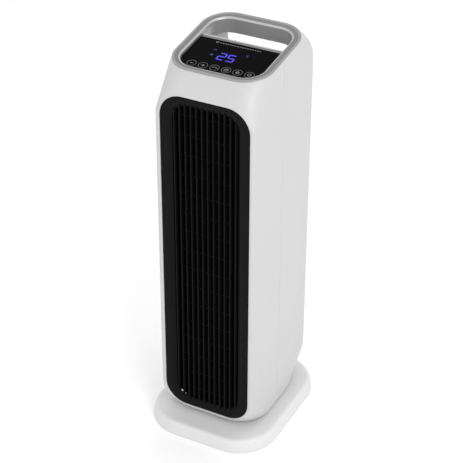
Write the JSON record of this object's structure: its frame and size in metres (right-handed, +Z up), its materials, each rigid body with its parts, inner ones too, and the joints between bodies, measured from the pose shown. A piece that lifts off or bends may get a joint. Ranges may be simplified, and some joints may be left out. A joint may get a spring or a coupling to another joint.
{
  "type": "ceramic tower space heater",
  "caption": "Tall ceramic fan heater: white two-part tower on a low swivel base, black ribbed outlet grille, sloping touch panel set in a silver ring that is also the carrying handle.",
  "frame": {"origin": "centre of the base's footprint, on the surface the feet stand on", "axes": "+Z up the tower, -Y towards the front grille, +X to the viewer's right when facing the grille"},
  "size_m": [0.1998, 0.236, 0.6089],
  "materials": {
    "white_shell": "satin-gloss moulded ABS",
    "white_base": "satin moulded ABS",
    "black_grille": "fine-grained matte",
    "silver_trim": "silver satin lacquer on plastic",
    "black_panel": "polished black panel",
    "led_display": "lit blue segments",
    "panel_print": "pale grey print",
    "inner_plastic": "heat-resistant nylon",
    "pom": "natural acetal",
    "rubber": "matte",
    "steel": "zinc-plated",
    "heater_fins": "corrugated fin stock on ceramic",
    "filter_mesh": "nylon mesh",
    "circuit_board": "solder mask"
  },
  "bodies": {
    "base": {"base_top_cover": "white_base", "base_lower_plate": "white_base", "foot_front_left": "rubber", "foot_front_right": "rubber", "foot_rear_left": "rubber", "foot_rear_right": "rubber", "base_screw_1": "steel", "base_screw_2": "steel", "base_screw_3": "steel", "base_screw_4": "steel", "swing_motor": "steel", "glide_ring": "pom", "tip_switch_body": "inner_plastic"},
    "tower": {"tower_base_plate": "inner_plastic", "swing_gear": "pom", "front_shell": "white_shell", "rear_shell": "white_shell", "shell_screw_1": "steel", "shell_screw_2": "steel", "shell_screw_3": "steel", "shell_screw_4": "steel", "front_grille": "black_grille", "rear_intake_grille": "white_shell", "dust_filter": "filter_mesh", "handle_ring": "silver_trim", "touch_glass": "black_panel", "panel_deck": "silver_trim", "display_board": "circuit_board", "handle_pocket": "white_shell", "ptc_element_lower": "heater_fins", "ptc_element_upper": "heater_fins", "heater_frame": "inner_plastic", "outlet_duct": "inner_plastic", "thermal_cutout": "steel", "heater_lower_bracket": "steel", "fan_motor": "steel", "fan_lower_plate": "inner_plastic", "fan_upper_plate": "inner_plastic", "fan_upper_bush": "pom", "scroll_wall": "inner_plastic", "vortex_tongue": "inner_plastic", "power_board": "circuit_board", "power_relay_block": "inner_plastic", "cord_gland": "rubber", "rocker_housing": "black_grille"},
    "fan": {"fan_drum": "inner_plastic", "fan_shaft": "steel"},
    "rocker": {"power_rocker": "black_grille"},
    "pinion": {"swing_pinion": "pom"},
    "plunger": {"tip_plunger": "rubber"}
  },
  "joints": [
    {"name": "tower_swing", "type": "hinge", "parent": "base", "child": "tower", "pos_m": [0, 0, 0.024], "axis": [0, 0, 1], "range_deg": [-35, 35]},
    {"name": "pinion_spin", "type": "hinge", "parent": "base", "child": "pinion", "pos_m": [0, 0.045, 0.017], "axis": [0, 0, 1], "range_deg": [-145, 145]},
    {"name": "fan_spin", "type": "hinge", "parent": "tower", "child": "fan", "pos_m": [0, 0.014, 0.293], "axis": [0, 0, 1], "continuous": true},
    {"name": "rocker_tilt", "type": "hinge", "parent": "tower", "child": "rocker", "pos_m": [0.034, 0.0883, 0.092], "axis": [1, 0, 0], "range_deg": [0, 16]},
    {"name": "tip_plunger_slide", "type": "slide", "parent": "base", "child": "plunger", "axis": [0, 0, 1], "range_m": [-0.006, 0], "stiffness_N_per_m": 40, "springref_m": -0.008}
  ],
  "couplings": [
    {"joint": "pinion_spin", "follows": "tower_swing", "ratio": -4}
  ]
}
